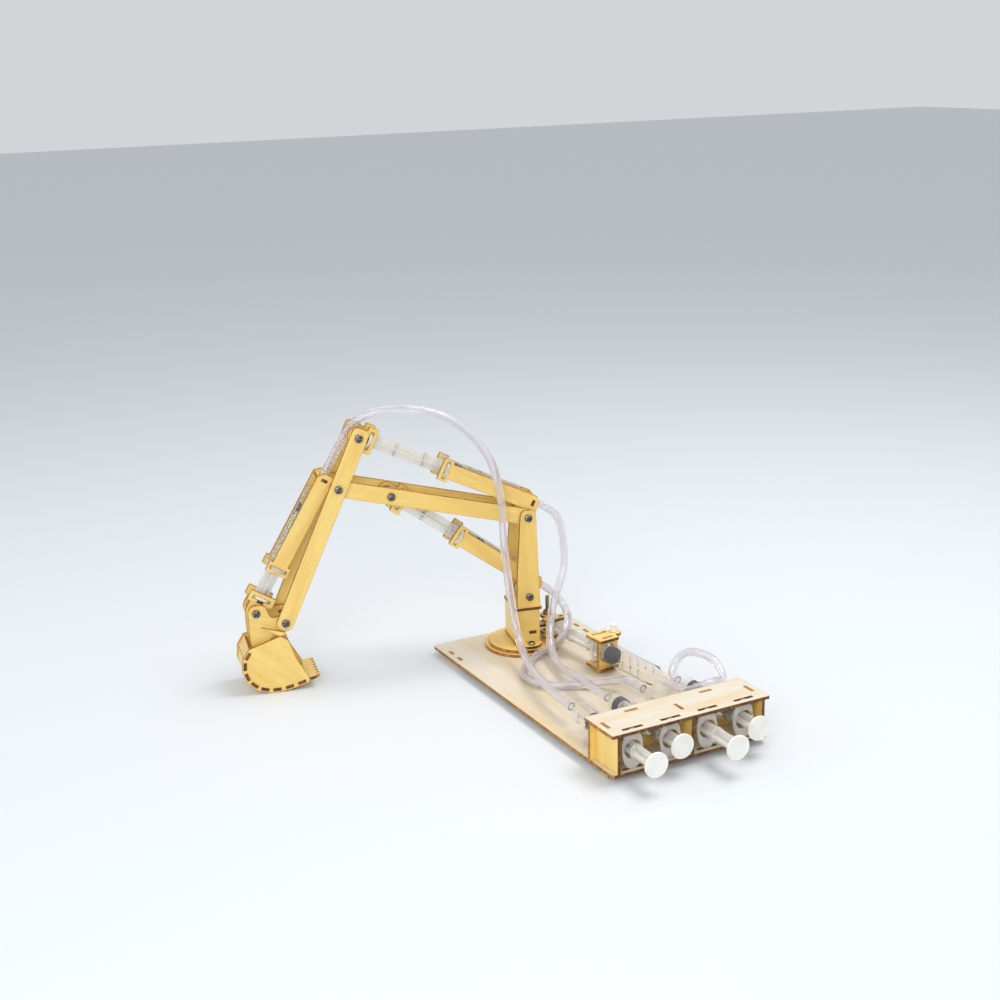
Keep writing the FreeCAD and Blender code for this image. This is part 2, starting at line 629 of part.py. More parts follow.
def make_teeth(half):
    """The digging edge: a plate with seven teeth, set between the sides in front of the first slat."""
    inner, shoulder = half - PLY - SLACK, -2.0
    a, b = Vec(*BUCKET_FLOOR[0], 0), Vec(*BUCKET_FLOOR[1], 0)
    angle = math.degrees(math.atan2(b.y - a.y, b.x - a.x))
    teeth, depth, root = 7, 2.6, -6.0
    pitch = 2 * half / teeth
    outline = [(-0.2, -inner), (-0.2, inner), (shoulder, inner), (shoulder, half)]
    for i in range(teeth):
        start = half - i * pitch
        outline += [(root, start), (root - depth, start - 0.3 * pitch),
                    (root - depth, start - 0.7 * pitch)]
    outline += [(root, -half), (shoulder, -half), (shoulder, -inner)]
    frame = BUCKET_FRAME * turned(a.x, a.y, 0, angle)
    on_edge = frame * Place(Vec(0, 0, 0), Rot(Vec(1, 0, 0), Vec(0, 0, 1), Vec(0, -1, 0), "XYZ"))
    keep(plate("bucket_teeth", rounded(outline), (), on_edge, -PLY), "bucket_teeth")


def make_ears():
    """Two ear plates between the stick's planks carry the bucket on its pivot and its pin."""
    pin = (dim("bucket_pin_u"), dim("bucket_pin_z"))
    outline = rounded([(pin[0] + 5.4, pin[1] + 5.4, 5.0), (pin[0] + 5.0, -8.0, 3), (23.3, -14.6, 2),
                       (16.5, -17.5, 1), (9.0, -9.0, 5), (-5.3, -5.3, 5.2), (-5.3, 5.3, 5.2),
                       (4.5, 4.6, 2), (9.5, 3.2, 4), (13.2, pin[1] + 5.4, 4.5)])
    ears = []
    for side, lift in near_and_far("boom_layer").items():
        ears.append(plate("ear_" + side, outline, [hole(0, 0), hole(*pin)], BUCKET_FRAME, lift))
    keep(group("bucket_ears", ears), "bucket_ears")
    reach = dim("boom_layer") + PLY
    keep(group("bucket_bolt", bolt_pin("bucket_pin", BUCKET_FRAME, pin[0], pin[1], reach, 2.0)), "bucket_bolt")


# ---------------------------------------------------------------- cylinders on the arm
def make_cage(name, frame):
    """Two side planks joined by a cross-piece behind the barrel's shoulder."""
    reach, lug = dim("cage_reach"), dim("cage_lug")
    cross = -67.0
    outline = rounded([(3.7, -7.7, 0.6), (3.7, 7.7, 0.6), (-3.7, 7.7, 0.6), (-3.7, 5.4), (-68.0, 5.4),
                       (-71.4, 1.6), (-reach - 5.0, -lug - 5.0, 4.9), (-reach + 5.0, -lug - 5.0, 4.9),
                       (-reach + 5.0, -5.4, 1.0), (-3.7, -5.4), (-3.7, -7.7, 0.6)])
    holes = [slot(0, 0, dim("flange_thick"), 12.0), slot(cross, 0, PLY, 4.2), hole(-reach, -lug)]
    pieces = []
    for side, lift in near_and_far("cage_layer").items():
        pieces.append(plate(f"{name}_cage_{side}", outline, holes, frame, lift))
    layer = dim("cage_layer")
    half, tab = layer + PLY, 2.1
    shape = rounded([(-tab, -half), (tab, -half), (tab, -layer + SLACK), (4.6, -layer + SLACK),
                     (4.6, layer - SLACK), (tab, layer - SLACK), (tab, half), (-tab, half),
                     (-tab, layer - SLACK), (-4.6, layer - SLACK), (-4.6, -layer + SLACK), (-tab, -layer + SLACK)])
    upright = frame * Place(Vec(cross - PLY / 2, 0, 0), Rot(Vec(0, 1, 0), UP, Vec(1, 0, 0), "XYZ"))
    pieces.append(plate(name + "_cross", shape, [hole(0, 0, 2.7)], upright))
    keep(group(name + "_cage", pieces), name + "_cage")


def make_clevis(name, frame, stroke):
    """Two T-shaped plates hold the thumb disc in their slots and carry the rod's pin."""
    middle = disc_middle(stroke)
    pin = middle + dim("pin_reach")
    play = HOLE + PIN_PLAY[name]
    eye = play + 2.0
    cross = middle + dim("thumb_thick") / 2 + 0.2 + PLY / 2
    outline = rounded([(middle - 3.6, -9.0, 0.6), (middle + 3.6, -9.0, 0.6), (middle + 3.6, -eye),
                       (pin + eye, -eye, eye - 0.1), (pin + eye, eye, eye - 0.1), (middle + 3.6, eye),
                       (middle + 3.6, 9.0, 0.6), (middle - 3.6, 9.0, 0.6)])
    holes = [slot_pair(middle, cross), hole(pin, 0, play)]
    pieces = []
    for side, lift in near_and_far("clevis_layer").items():
        pieces.append(plate(f"{name}_clevis_{side}", outline, holes, frame, lift))
    layer = dim("clevis_layer")
    half, tab = layer + PLY, 2.1
    shape = rounded([(-tab, -half), (tab, -half), (tab, half), (-tab, half)])
    upright = frame * Place(Vec(cross - PLY / 2, 0, 0), Rot(Vec(0, 1, 0), UP, Vec(1, 0, 0), "XYZ"))
    pieces.append(plate(name + "_clevis_cross", shape, (), upright))
    keep(group(name + "_clevis", pieces), name + "_clevis")


def slot_pair(middle, cross):
    """The thumb disc's slot and, opening out of it, the cross-piece's slot."""
    left, right = middle - dim("thumb_thick") / 2 - SLACK, cross + PLY / 2 + SLACK
    step = middle + dim("thumb_thick") / 2 + SLACK
    return rounded([(left, -6.3), (step, -6.3), (step, -2.2), (right, -2.2),
                    (right, 2.2), (step, 2.2), (step, 6.3), (left, 6.3)])


def make_arm_cylinders():
    for name in ("boom", "stick", "bucket"):
        frame = CYLINDERS[name]
        stroke = STROKES[name]
        make_cage(name, frame)
        keep(barrel(name + "_barrel", frame), name + "_barrel")
        keep(plunger(name + "_plunger", frame, stroke), name + "_plunger")
        keep(seal(name + "_seal", frame, stroke), name + "_seal")
        make_clevis(name, frame, stroke)


# ---------------------------------------------------------------- swing cylinder
def make_swing_cylinder():
    stroke = STROKES["swing"]
    half = dim("swing_inner") / 2
    pivot = (-dim("swing_lug"), -dim("cage_lug"))
    wall_x, tab = -9.0, 4.0
    outline = rounded([(4.2, 8.6, 1.5), (-13.0, 8.6, 1), (-13.0, -7.4, 1), (pivot[0] - 4.8, -7.4, 1),
                       (pivot[0] - 4.8, pivot[1] - 4.8, 4.6), (pivot[0] + 4.8, pivot[1] - 4.8, 4.6),
                       (pivot[0] + 4.8, -7.4, 1), (4.2, -7.4, 1)])
    holes = [slot(0, 0, dim("flange_thick"), 10.6), slot(wall_x, 0, PLY, 2 * tab),
             hole(*pivot, dim("swing_pin") / 2 + 0.05)]
    pieces = [plate("swing_plate_low", outline, holes, SWING_FRAME, -half - PLY),
              plate("swing_plate_top", outline, holes, SWING_FRAME, half)]
    wall = rounded([(-8.0, -half), (-tab, -half), (-tab, -half - PLY), (tab, -half - PLY), (tab, -half),
                    (8.0, -half), (8.0, half), (tab, half), (tab, half + PLY), (-tab, half + PLY),
                    (-tab, half), (-8.0, half)])
    upright = SWING_FRAME * Place(Vec(wall_x - PLY / 2, 0, 0), Rot(Vec(0, 1, 0), UP, Vec(1, 0, 0), "XYZ"))
    pieces.append(plate("swing_wall", wall, [hole(0, 0, dim("barrel_outer") / 2 + 0.1)], upright))
    keep(group("swing_bracket", pieces), "swing_bracket")
    keep(barrel("swing_barrel", SWING_FRAME), "swing_barrel")
    keep(plunger("swing_plunger", SWING_FRAME, stroke), "swing_plunger")
    keep(seal("swing_seal", SWING_FRAME, stroke), "swing_seal")
    make_clevis("swing", SWING_FRAME, stroke)

    low = dim("foot_height") - 1.6
    top = BOARD_TOP + dim("swing_axis") + half + PLY
    at_pivot = turned(SWING_PIVOT.x, SWING_PIVOT.y)
    shank = cylinder("swing_pin_shank", "Dims.swing_pin / 2", top + 5.4 - low, turned(z=low))
    head = cylinder("swing_pin_head", 3.4, 1.6, turned(z=low))
    spacer = cylinder("swing_pin_spacer", 3.6, 2.1, turned(z=BOARD_TOP))
    cap = cylinder("swing_pin_cap", 2.4, 5.0, turned(z=top + 0.4))
    pin = fuse("swing_pivot_pin", [shank, head, spacer, cap])
    pin.Placement = at_pivot
    keep(pin, "swing_pivot_pin")


# ---------------------------------------------------------------- tubes
# corners of each tube's route, from its arm cylinder to its control syringe
TUBE_ROUTES = {
    "bucket": [(-22.5, -110.0, 182.5), (-11.0, -75.5, 185.5), (0.0, -48.5, 176.0),
               (9.5, -28.0, 151.5), (14.5, -22.0, 121.0), (16.0, -22.5, 89.0), (19.0, -20.5, 58.0),
               (25.0, -18.0, 23.5), (54.5, -27.0, 16.5), (88.0, -36.0, 18.5)],
    "stick": [(5.5, 30.0, 87.0), (7.0, 31.5, 59.0), (14.0, 17.0, 39.5), (30.0, 4.0, 21.0),
              (48.0, -2.5, 11.0), (71.0, -7.5, 12.5), (99.0, -12.5, 18.2)],
    "boom": [(9.5, 24.5, 38.5), (24.0, 23.0, 33.0), (38.0, 14.5, 29.0), (36.5, 10.5, 20.5),
             (29.5, 7.5, 12.0), (29.0, -6.0, 9.5), (52.0, -31.5, 9.1), (71.5, -31.0, 9.1),
             (80.5, -23.5, 9.1), (90.5, -3.0, 9.1), (103.5, 14.0, 13.5)],
    "swing": [(156.0, 30.0, 21.0), (168.0, 33.5, 28.5), (169.0, 43.5, 30.0), (164.0, 53.0, 26.0),
              (157.0, 57.0, 29.0), (147.0, 57.0, 35.0), (133.0, 54.0, 35.0), (120.0, 51.5, 30.0),
              (115.5, 44.0, 23.0)],
}
LEADS = {"boom": 16.0, "swing": 10.5}


def tube_points(name):
    """The route with its ends on the two nozzles' faces and a straight lead out of each."""
    face = -dim("barrel_length") - dim("nozzle_length")
    lead = LEADS.get(name, dim("tube_lead"))
    ends = [frame * Vec(face - reach, 0, 0) for frame in (CYLINDERS[name], control_frame(name))
            for reach in (0, lead)]
    return ends[:2] + [Vec(*p) for p in TUBE_ROUTES[name]] + [ends[3], ends[2]]


def bent_line(points):
    """Straight runs joined by tangent arcs, with the radius of each arc."""
    edges, radii = [], []
    start = points[0]
    for before, corner, after in zip(points, points[1:], points[2:]):
        back, ahead = before - corner, after - corner
        reach = 0.45 * min(back.Length, ahead.Length)
        half = back.getAngle(ahead) / 2
        back.normalize()
        ahead.normalize()
        radius = reach * math.tan(half)
        middle = corner + (back + ahead).normalize() * (radius / math.sin(half) - radius)
        enter, leave = corner + back * reach, corner + ahead * reach
        edges += [Part.LineSegment(start, enter).toShape(), Part.Arc(enter, middle, leave).toShape()]
        radii.append(radius)
        start = leave
    edges.append(Part.LineSegment(start, points[-1]).toShape())
    return Part.Wire(edges), radii


def make_tubes():
    radius = dim("tube") / 2
    for name in TUBE_ROUTES:
        points = tube_points(name)
        path, radii = bent_line(points)
        section = Part.Wire(Part.Circle(points[0], points[1] - points[0], radius).toShape())
        obj = doc.addObject("Part::Feature", "tube_" + name)
        obj.Shape = path.makePipeShell([section], True, False)
        keep(obj, "tube_" + name)
        share = obj.Shape.Volume / (math.pi * radius ** 2 * path.Length)
        print(f"tube_{name}: {path.Length:.1f} mm, volume share {share:.3f}, arc radii",
              [round(r, 1) for r in radii])


# ---------------------------------------------------------------- build and export
tab_length, tab_position = make_base()
make_console(tab_length, tab_position)
make_controls()
make_turntable()
make_boom()
make_stick()
make_bucket()
make_arm_cylinders()
make_swing_cylinder()
make_tubes()

doc.recompute()
faults = [f"{o.Name}: {o.State}" for o in doc.Objects if "Invalid" in o.State or "Error" in o.State]
faults += [f"{o.Label}: shape" for o in NODES if o.Shape.isNull() or not o.Shape.isValid()]
if faults:
    raise RuntimeError("; ".join(faults))
for node in NODES:
    node.Shape.exportStep(f"parts/{node.Label}.step")
print(len(NODES), "nodes")
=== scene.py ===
import json
import math

import bmesh
import bpy
import numpy as np
from mathutils import Matrix, Vector


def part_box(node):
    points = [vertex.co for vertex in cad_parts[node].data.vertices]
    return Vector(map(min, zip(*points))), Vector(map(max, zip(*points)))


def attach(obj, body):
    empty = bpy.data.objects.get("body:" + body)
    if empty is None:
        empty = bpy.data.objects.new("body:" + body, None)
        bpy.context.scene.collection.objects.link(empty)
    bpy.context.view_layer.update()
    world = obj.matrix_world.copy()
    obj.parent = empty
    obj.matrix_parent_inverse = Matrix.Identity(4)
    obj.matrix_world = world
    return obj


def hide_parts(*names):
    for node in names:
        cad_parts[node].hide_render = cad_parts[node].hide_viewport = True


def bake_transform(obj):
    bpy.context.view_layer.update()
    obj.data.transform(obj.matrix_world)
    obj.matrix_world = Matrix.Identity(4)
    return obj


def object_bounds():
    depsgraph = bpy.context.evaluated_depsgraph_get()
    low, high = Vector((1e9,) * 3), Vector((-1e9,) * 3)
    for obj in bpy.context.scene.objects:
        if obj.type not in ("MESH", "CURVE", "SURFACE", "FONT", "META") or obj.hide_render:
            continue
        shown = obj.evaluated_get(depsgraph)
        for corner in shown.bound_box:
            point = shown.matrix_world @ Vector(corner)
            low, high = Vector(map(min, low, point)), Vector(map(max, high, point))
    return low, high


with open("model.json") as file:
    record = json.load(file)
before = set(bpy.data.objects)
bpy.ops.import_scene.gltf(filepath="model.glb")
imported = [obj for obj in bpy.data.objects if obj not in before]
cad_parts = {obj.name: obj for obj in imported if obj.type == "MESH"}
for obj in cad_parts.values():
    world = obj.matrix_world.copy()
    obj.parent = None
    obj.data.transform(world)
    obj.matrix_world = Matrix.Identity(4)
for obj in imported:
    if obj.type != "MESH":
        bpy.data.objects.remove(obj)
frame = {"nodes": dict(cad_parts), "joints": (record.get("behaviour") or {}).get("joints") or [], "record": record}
cad_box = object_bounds()
MM = 0.001
JOINTS = {joint["name"]: joint for joint in frame["joints"]}
CYLINDERS = ("boom", "stick", "bucket", "swing")
UP = Vector((0, 0, 1))


# ---------------------------------------------------------------- camera, light and floor
def make_camera():
    """The camera for the main view: from the console's corner, looking slightly down."""
    yaw, pitch, roll = math.radians(152.03), math.radians(-16.09), math.radians(-1.27)
    ahead = Vector((math.cos(pitch) * math.cos(yaw), math.cos(pitch) * math.sin(yaw), math.sin(pitch)))
    camera = bpy.data.objects.new("camera", bpy.data.cameras.new("camera"))
    bpy.context.scene.collection.objects.link(camera)
    camera.location = (0.8921, -0.4936, 0.4163)
    camera.rotation_mode = "QUATERNION"
    turn = ahead.to_track_quat("-Z", "Y").to_matrix() @ Matrix.Rotation(roll, 3, "Z")
    camera.rotation_quaternion = turn.to_quaternion()
    camera.data.sensor_width = 36.0
    camera.data.lens = 55.6
    camera.data.shift_x = 0.0055
    camera.data.shift_y = -0.0137
    camera.data.clip_start = 0.01
    bpy.context.scene.camera = camera


def area_light(name, place, target, size, power, colour=(1, 1, 1)):
    data = bpy.data.lights.new(name, "AREA")
    data.size = size
    data.energy = power
    data.color = colour
    light = bpy.data.objects.new(name, data)
    bpy.context.scene.collection.objects.link(light)
    light.location = place
    light.rotation_mode = "QUATERNION"
    light.rotation_quaternion = (Vector(target) - Vector(place)).to_track_quat("-Z", "Y")


def make_studio():
    world = bpy.data.worlds.new("studio")
    world.use_nodes = True
    background = world.node_tree.nodes["Background"]
    background.inputs["Color"].default_value = (0.95, 0.97, 1.0, 1)
    background.inputs["Strength"].default_value = 0.68
    bpy.context.scene.world = world
    bpy.context.scene.view_settings.view_transform = "Standard"
    area_light("key", (0.15, 0.35, 1.1), (0.05, -0.02, 0.05), 0.55, 7.2, (1.0, 0.985, 0.96))
    area_light("front", (0.95, -0.75, 0.65), (0.05, -0.05, 0.06), 0.7, 6.0)
    area_light("side", (-0.35, -0.9, 0.5), (0.0, -0.1, 0.08), 0.6, 1.4)

    mesh = bpy.data.meshes.new("floor")
    half = 6.0
    floor_z = cad_box[0][2] - 0.0002
    mesh.from_pydata([(-half, -half, floor_z), (half, -half, floor_z), (half, half, floor_z),
                      (-half, half, floor_z)], [], [(0, 1, 2, 3)])
    floor = bpy.data.objects.new("floor", mesh)
    bpy.context.scene.collection.objects.link(floor)
    material, shader, _, _ = new_material("floor")
    shader.inputs["Base Color"].default_value = (0.70, 0.73, 0.76, 1)
    shader.inputs["Roughness"].default_value = 0.85
    floor.data.materials.append(material)


# ---------------------------------------------------------------- node helpers
def new_material(name):
    material = bpy.data.materials.new(name)
    material.use_nodes = True
    tree = material.node_tree
    return material, tree.nodes["Principled BSDF"], tree.nodes, tree.links


def linked(nodes, links, kind, inputs=(), **settings):
    """A new node with its settings made and its inputs linked or set; inputs are (socket, value)."""
    node = nodes.new(kind)
    for key, value in settings.items():
        setattr(node, key, value)
    for socket, value in inputs:
        if isinstance(value, bpy.types.NodeSocket):
            links.new(value, node.inputs[socket])
        else:
            node.inputs[socket].default_value = value
    return node


def ramp(nodes, links, factor, stops):
    node = linked(nodes, links, "ShaderNodeValToRGB", [("Fac", factor)])
    elements = node.color_ramp.elements
    while len(elements) < len(stops):
        elements.new(0.5)
    for element, (position, colour) in zip(elements, stops):
        element.position = position
        element.color = (*colour, 1)
    return node.outputs["Color"]


def mixed(nodes, links, factor, a, b, blend="MIX"):
    node = linked(nodes, links, "ShaderNodeMix", [], data_type="RGBA", blend_type=blend)
    for socket, value in ((0, factor), (6, a), (7, b)):
        if isinstance(value, bpy.types.NodeSocket):
            links.new(value, node.inputs[socket])
        elif socket == 0:
            node.inputs[socket].default_value = value
        else:
            node.inputs[socket].default_value = (*value, 1)
    return node.outputs[2]


def bump(nodes, links, shader, height, strength, distance):
    node = linked(nodes, links, "ShaderNodeBump",
                  [("Strength", strength), ("Distance", distance), ("Height", height)])
    links.new(node.outputs["Normal"], shader.inputs["Normal"])


# ---------------------------------------------------------------- plywood
PALE, GOLD, DEEP = (0.89, 0.645, 0.185), (0.84, 0.55, 0.135), (0.58, 0.30, 0.06)
# the paler pair below is the ply's colour made lighter and less saturated: painted sheen and light for the plates
# whose tops face the light
PAINTED_SHEEN_CREAM, PAINTED_SHEEN_HONEY = (0.745, 0.68, 0.57), (0.73, 0.59, 0.37)
BURN, CHAR = (0.30, 0.115, 0.018), (0.07, 0.024, 0.005)
THICKEST_PLATE = 4 * MM       # a thicker solid is a block, and shows face grain all round
# the board and the console top take the paler pair of colours: painted sheen and light on their up-facing tops,
# not a different wood
PAINTED_SHEEN_PLATES = ("base_board", "console_top")


def wood_axes(nodes, links, along, normal):
    """Three coordinates fixed to a piece of ply: along its grain, across it and through it."""
    place = linked(nodes, links, "ShaderNodeTexCoord").outputs["Object"]
    parts = []
    for axis in (along, normal.cross(along), normal):
        dot = linked(nodes, links, "ShaderNodeVectorMath", [(0, place), (1, axis)], operation="DOT_PRODUCT")
        parts.append(dot.outputs["Value"])
    return parts


def wood_noise(nodes, links, parts, scales, detail, seed):
    scaled = []
    for part, scale in zip(parts, scales):
        node = linked(nodes, links, "ShaderNodeMath", [(0, part), (1, scale), (2, seed)],
                      operation="MULTIPLY_ADD")
        scaled.append(node.outputs[0])
    vector = linked(nodes, links, "ShaderNodeCombineXYZ", list(zip("XYZ", scaled))).outputs[0]
    noise = linked(nodes, links, "ShaderNodeTexNoise",
                   [("Vector", vector), ("Scale", 1.0), ("Detail", detail)])
    return noise.outputs["Fac"]


def near_edges(nodes, links, radius):
    """1 at a sharp edge, 0 further from it than the radius."""
    rounded = linked(nodes, links, "ShaderNodeBevel", [("Radius", radius)], samples=6)
    true = linked(nodes, links, "ShaderNodeNewGeometry").outputs["True Normal"]
    dot = linked(nodes, links, "ShaderNodeVectorMath", [(0, rounded.outputs[0]), (1, true)],
                 operation="DOT_PRODUCT").outputs["Value"]
    return linked(nodes, links, "ShaderNodeMapRange",
                  [("Value", dot), ("From Min", 0.995), ("From Max", 0.80)]).outputs["Result"]


def ply_face(along, normal, seed, painted_sheen):
    """The veneer of a plate: fine golden grain, browned by the laser along every cut, and paler on the up-facing
    plates as painted sheen.
    """
    material, shader, nodes, links = new_material("ply_face")
    parts = wood_axes(nodes, links, along, normal)
    fine = wood_noise(nodes, links, parts, (90, 1500, 300), 3.0, seed)
    broad = wood_noise(nodes, links, parts, (14, 130, 60), 2.0, seed * 1.7)
    pores = wood_noise(nodes, links, parts, (260, 3600, 300), 1.0, seed * 0.6)
    # on the board and console top the grain colour is the paler pair: painted sheen of light on their tops
    colour = ramp(nodes, links, broad, [(0.28, PAINTED_SHEEN_HONEY if painted_sheen else GOLD), (0.60, PAINTED_SHEEN_CREAM if painted_sheen else PALE)])
    streaks = ramp(nodes, links, fine, [(0.30, (0.86, 0.80, 0.70)), (0.62, (1, 1, 1))])
    colour = mixed(nodes, links, 0.55, colour, streaks, "MULTIPLY")
    specks = ramp(nodes, links, pores, [(0.26, (0.72, 0.60, 0.45)), (0.36, (1, 1, 1))])
    colour = mixed(nodes, links, 0.30, colour, specks, "MULTIPLY")
    smoke = mixed(nodes, links, near_edges(nodes, links, 0.0016), (1, 1, 1), (0.93, 0.78, 0.50))
    colour = mixed(nodes, links, 1.0, colour, smoke, "MULTIPLY")
    colour = mixed(nodes, links, near_edges(nodes, links, 0.00045), colour, BURN)
    links.new(colour, shader.inputs["Base Color"])
    shader.inputs["Roughness"].default_value = 0.5
    shader.inputs["Coat Weight"].default_value = 0.5
    shader.inputs["Coat Roughness"].default_value = 0.38
    bump(nodes, links, shader, fine, 0.08, 0.0002)
    return material


def ply_edge(along, normal, seed):
    """The cut edge: browned plies with the glue line darker, and charred in places."""
    material, shader, nodes, links = new_material("ply_edge")
    parts = wood_axes(nodes, links, along, normal)
    layers = wood_noise(nodes, links, parts, (70, 70, 2600), 1.0, seed)
    scorch = wood_noise(nodes, links, parts, (420, 420, 160), 2.0, seed * 2.1)
    colour = ramp(nodes, links, scorch, [(0.34, BURN), (0.66, DEEP)])
    plies = ramp(nodes, links, layers, [(0.36, (0.45, 0.34, 0.24)), (0.56, (1, 1, 1))])
    colour = mixed(nodes, links, 0.75, colour, plies, "MULTIPLY")
    colour = mixed(nodes, links, near_edges(nodes, links, 0.0003), colour, CHAR)
    links.new(colour, shader.inputs["Base Color"])
    shader.inputs["Roughness"].default_value = 0.7
    bump(nodes, links, shader, layers, 0.25, 0.0001)
    return material


def charred_end(along, normal, seed):
    """The end of a tab that shows in its slot: nearly black, with some brown left in it."""
    material, shader, nodes, links = new_material("ply_tab_end")
    parts = wood_axes(nodes, links, along, normal)
    scorch = wood_noise(nodes, links, parts, (700, 700, 500), 2.0, seed)
    colour = ramp(nodes, links, scorch, [(0.42, CHAR), (0.72, BURN)])
    links.new(colour, shader.inputs["Base Color"])
    shader.inputs["Roughness"].default_value = 0.6
    bump(nodes, links, shader, scorch, 0.3, 0.0002)
    return material


def solids_of(mesh):
    """The separate solids of a mesh, as lists of polygon numbers."""
    root = {}

    def find(key):
        while root[key] != key:
            root[key] = root[root[key]]
            key = root[key]
        return key

    keys = [tuple(round(c * 1e6) for c in vertex.co) for vertex in mesh.vertices]
    for key in keys:
        root[key] = key
    for polygon in mesh.polygons:
        first = find(keys[polygon.vertices[0]])
        for index in polygon.vertices[1:]:
            root[find(keys[index])] = first
    groups = {}
    for polygon in mesh.polygons:
        groups.setdefault(find(keys[polygon.vertices[0]]), []).append(polygon.index)
    return list(groups.values())


def plate_axes(mesh, polygons):
    """The normal of a plate's largest faces and the direction it is longest in."""
    normals = np.array([mesh.polygons[i].normal for i in polygons])
    areas = np.array([mesh.polygons[i].area for i in polygons])
    seeds = normals[np.argsort(-areas)[:12]]
    shares = [(areas * (np.abs(normals @ seed) > 0.99)).sum() for seed in seeds]
    normal = seeds[int(np.argmax(shares))]
    normal = normal * np.sign(normal[np.argmax(np.abs(normal))])
    corners = {i for p in polygons for i in mesh.polygons[p].vertices}
    points = np.array([mesh.vertices[i].co for i in corners])
    flat = points - points.mean(0)
    flat = flat - np.outer(flat @ normal, normal)
    along = np.linalg.eigh(flat.T @ flat)[1][:, -1]
    along = along * np.sign(along[np.argmax(np.abs(along))])
    return Vector(along).normalized(), Vector(normal).normalized()


def dress_plywood():
    """Gives each plate its grain along its length, with its cut edges apart from its faces."""
    cache = {}
    hinge = Vector(JOINTS["boom_lift"]["axis"]).normalized()
    slots = {part["node"]: part["material_slot"] for part in frame["record"]["subparts"]}
    for name, obj in frame["nodes"].items():
        if slots[name] != "plywood":
            continue
        mesh = obj.data
        mesh.materials.clear()
        used = {}
        for polygons in solids_of(mesh):
            along, normal = plate_axes(mesh, polygons)
            heights = [mesh.vertices[i].co.dot(normal) for p in polygons for i in mesh.polygons[p].vertices]
            is_plate = max(heights) - min(heights) < THICKEST_PLATE
            # board and console top get the paler ply colours: painted sheen on their lit tops
            painted_sheen = name in PAINTED_SHEEN_PLATES
            key = (*(round(c, 2) for c in (*along, *normal)), painted_sheen)
            if key not in cache:
                seed = 3.0 + 5.3 * len(cache)
                cache[key] = (ply_face(along, normal, seed, painted_sheen), ply_edge(along, normal, seed),
                              charred_end(along, normal, seed))
            if key not in used:
                used[key] = len(mesh.materials)
                for material in cache[key]:
                    mesh.materials.append(material)
            for index in polygons:
                polygon = mesh.polygons[index]
                is_edge = is_plate and abs(polygon.normal.dot(normal)) < 0.9
                is_end = is_edge and abs(polygon.normal.dot(hinge)) > 0.95
                polygon.material_index = used[key] + int(is_edge) + int(is_end)


# ---------------------------------------------------------------- other materials
def clear_plastic(name, tint, roughness, transmission, ior, coat):
    material, shader, nodes, links = new_material(name)
    place = linked(nodes, links, "ShaderNodeTexCoord").outputs["Object"]
    haze = linked(nodes, links, "ShaderNodeTexNoise", [("Vector", place), ("Scale", 180.0), ("Detail", 2.0)])
    colour = ramp(nodes, links, haze.outputs["Fac"], [(0.3, tuple(0.98 * c for c in tint)), (0.7, tint)])
    links.new(colour, shader.inputs["Base Color"])
    gloss = linked(nodes, links, "ShaderNodeMapRange",
                   [("Value", haze.outputs["Fac"]), ("To Min", roughness * 0.9), ("To Max", roughness * 1.1)])
    links.new(gloss.outputs["Result"], shader.inputs["Roughness"])
    shader.inputs["Transmission Weight"].default_value = transmission
    shader.inputs["IOR"].default_value = ior
    shader.inputs["Coat Weight"].default_value = coat
    shader.inputs["Coat Roughness"].default_value = 0.08
    return material


def milky_plastic(name, transmission):
    material, shader, nodes, links = new_material(name)
    place = linked(nodes, links, "ShaderNodeTexCoord").outputs["Object"]
    cloud = linked(nodes, links, "ShaderNodeTexNoise", [("Vector", place), ("Scale", 120.0), ("Detail", 2.0)])
    colour = ramp(nodes, links, cloud.outputs["Fac"], [(0.3, (0.90, 0.87, 0.80)), (0.7, (0.96, 0.94, 0.90))])
    links.new(colour, shader.inputs["Base Color"])
    shader.inputs["Roughness"].default_value = 0.32
    shader.inputs["Subsurface Weight"].default_value = 0.3
    shader.inputs["Subsurface Radius"].default_value = (1, 0.9, 0.75)
    shader.inputs["Subsurface Scale"].default_value = 0.002
    shader.inputs["Transmission Weight"].default_value = transmission
    shader.inputs["IOR"].default_value = 1.2
    bump(nodes, links, shader, cloud.outputs["Fac"], 0.05, 0.0002)
    return material


def solid_material(name, dark, light, roughness, metallic=0.0, scale=600.0, strength=0.1):
    """An opaque surface with a slight mottle in colour and relief."""
    material, shader, nodes, links = new_material(name)
    place = linked(nodes, links, "ShaderNodeTexCoord").outputs["Object"]
    mottle = linked(nodes, links, "ShaderNodeTexNoise",
                    [("Vector", place), ("Scale", scale), ("Detail", 3.0)])
    colour = ramp(nodes, links, mottle.outputs["Fac"], [(0.35, dark), (0.65, light)])
    links.new(colour, shader.inputs["Base Color"])
    rough = linked(nodes, links, "ShaderNodeMapRange",
                   [("Value", mottle.outputs["Fac"]), ("To Min", roughness * 0.8),
                    ("To Max", roughness * 1.2)])
    links.new(rough.outputs["Result"], shader.inputs["Roughness"])
    shader.inputs["Metallic"].default_value = metallic
    bump(nodes, links, shader, mottle.outputs["Fac"], strength, 0.0001)
    return material


# ---------------------------------------------------------------- meshes
def mesh_object(name, bm, material, frame_matrix=Matrix.Identity(4), smooth_angle=40.0):
    bmesh.ops.recalc_face_normals(bm, faces=bm.faces)
    mesh = bpy.data.meshes.new(name)
    bm.to_mesh(mesh)
    bm.free()
    mesh.transform(frame_matrix)
    mesh.materials.append(material)
    for polygon in mesh.polygons:
        polygon.use_smooth = True
    mesh.set_sharp_from_angle(angle=math.radians(smooth_angle))
    obj = bpy.data.objects.new(name, mesh)
    bpy.context.scene.collection.objects.link(obj)
    return obj


def bridge(bm, a, b):
    """Joins two closed rings of the same number of points with faces."""
    for i in range(len(a)):
        j = (i + 1) % len(a)
        bm.faces.new((a[i], a[j], b[j], b[i]))


